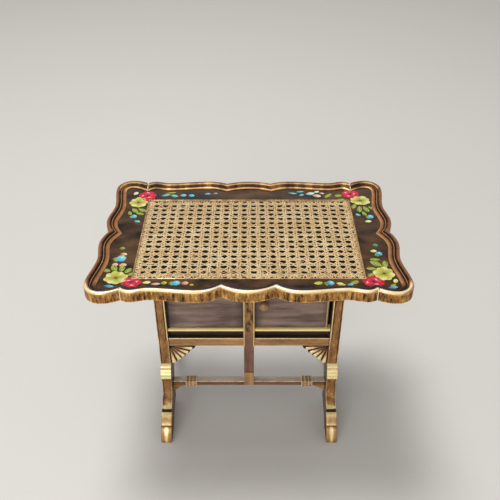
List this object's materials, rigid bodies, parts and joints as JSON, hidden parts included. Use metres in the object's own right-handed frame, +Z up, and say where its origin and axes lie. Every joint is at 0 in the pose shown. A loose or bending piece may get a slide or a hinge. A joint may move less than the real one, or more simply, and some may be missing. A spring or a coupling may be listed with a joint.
{
  "type": "tray-top table",
  "caption": "Low table with a scalloped, moulded lift-off tray that has a cane centre and painted border, on a trestle stand with a small cupboard and hinged door.",
  "frame": {"origin": "on the floor, under the centre of the tray", "axes": "+X to the right along the tray, +Y to the back, +Z up"},
  "size_m": [0.615, 0.404, 0.47],
  "materials": {
    "gilt_wood": "carved wood, gilded and rubbed back to brown in the hollows",
    "brown_wood": "brown stained wood, satin",
    "dark_lacquer": "brown-black lacquer on wood, glossy",
    "panel_wood": "weathered brown wood with lengthwise streaks",
    "post_wood": "red-brown stained wood, satin",
    "pale_wood": "bare pale wood",
    "cane": "woven natural cane",
    "brass": "plain turned brass"
  },
  "bodies": {
    "stand": {"end_left": "brown_wood", "end_right": "brown_wood", "knee_left": "gilt_wood", "knee_right": "gilt_wood", "foot_left": "gilt_wood", "foot_right": "gilt_wood", "top_board": "dark_lacquer", "top_rail_left": "brown_wood", "top_rail_right": "brown_wood", "top_rail_rear": "brown_wood", "rail_left": "brown_wood", "rail_right": "brown_wood", "rail_rear": "brown_wood", "frieze_left": "dark_lacquer", "frieze_right": "dark_lacquer", "sill_left": "gilt_wood", "sill_right": "gilt_wood", "cupboard_floor": "dark_lacquer", "back_panel": "panel_wood", "fixed_panel": "panel_wood", "fixed_panel_bead": "gilt_wood", "centre_post": "post_wood", "post_bead_left": "gilt_wood", "post_bead_right": "gilt_wood", "post_foot_plate": "pale_wood", "door_stop": "brown_wood", "fan_left": "gilt_wood", "fan_right": "gilt_wood", "stretcher": "brown_wood", "stretcher_bracket_left": "gilt_wood", "stretcher_bracket_right": "gilt_wood", "stretcher_band_left": "gilt_wood", "stretcher_band_right": "gilt_wood", "pivot_pin_lower": "brass", "pivot_pin_upper": "brass", "pivot_washer": "brass"},
    "door": {"door_panel": "panel_wood", "door_bead": "gilt_wood", "door_knob": "gilt_wood"},
    "tray": {"tray_floor": "dark_lacquer", "rim_front": "gilt_wood", "rim_back": "gilt_wood", "rim_left": "gilt_wood", "rim_right": "gilt_wood", "cane_panel": "cane", "cane_bead": "gilt_wood", "batten_left": "brown_wood", "batten_right": "brown_wood", "batten_front": "brown_wood", "batten_rear": "brown_wood"}
  },
  "joints": [
    {"name": "door_turn", "type": "hinge", "parent": "stand", "child": "door", "pos_m": [0.1637, -0.0605, 0.2591], "axis": [0, 0, 1], "range_deg": [0, 95]},
    {"name": "tray_lift", "type": "slide", "parent": "stand", "child": "tray", "axis": [0, 0, 1], "range_m": [0, 0.12]}
  ]
}
